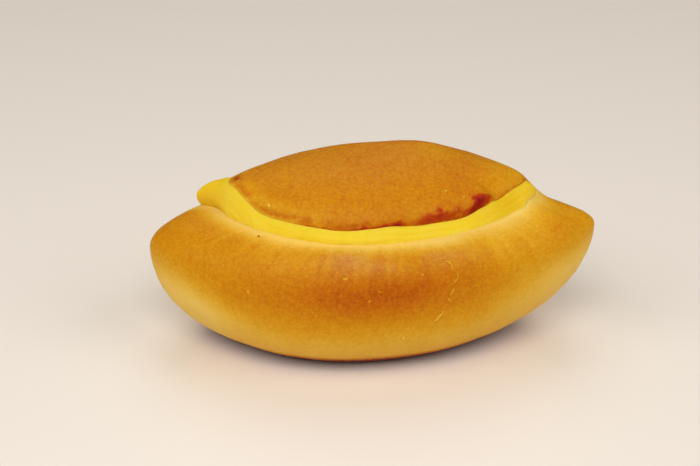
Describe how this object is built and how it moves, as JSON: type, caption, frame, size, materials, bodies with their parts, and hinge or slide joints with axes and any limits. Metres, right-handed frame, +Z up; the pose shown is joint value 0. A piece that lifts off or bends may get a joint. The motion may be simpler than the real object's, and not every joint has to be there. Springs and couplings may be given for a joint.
{
  "type": "cream bun",
  "caption": "Spindle-shaped soft baked bun, slit round its front and both ends under a hinged domed lid, with yellow custard showing in the slit.",
  "frame": {"origin": "under the middle of the bun's length and width, on the flat spot that it rests on", "axes": "+X along the bun towards the end that is on the right when the open front faces the viewer, -Y towards the open front, +Z up"},
  "size_m": [0.134, 0.0678, 0.0586],
  "materials": {
    "crust": "satin golden-brown baked crust",
    "custard": "smooth matte yellow custard"
  },
  "bodies": {
    "root": {"bread": "crust", "custard": "custard"}
  },
  "joints": []
}
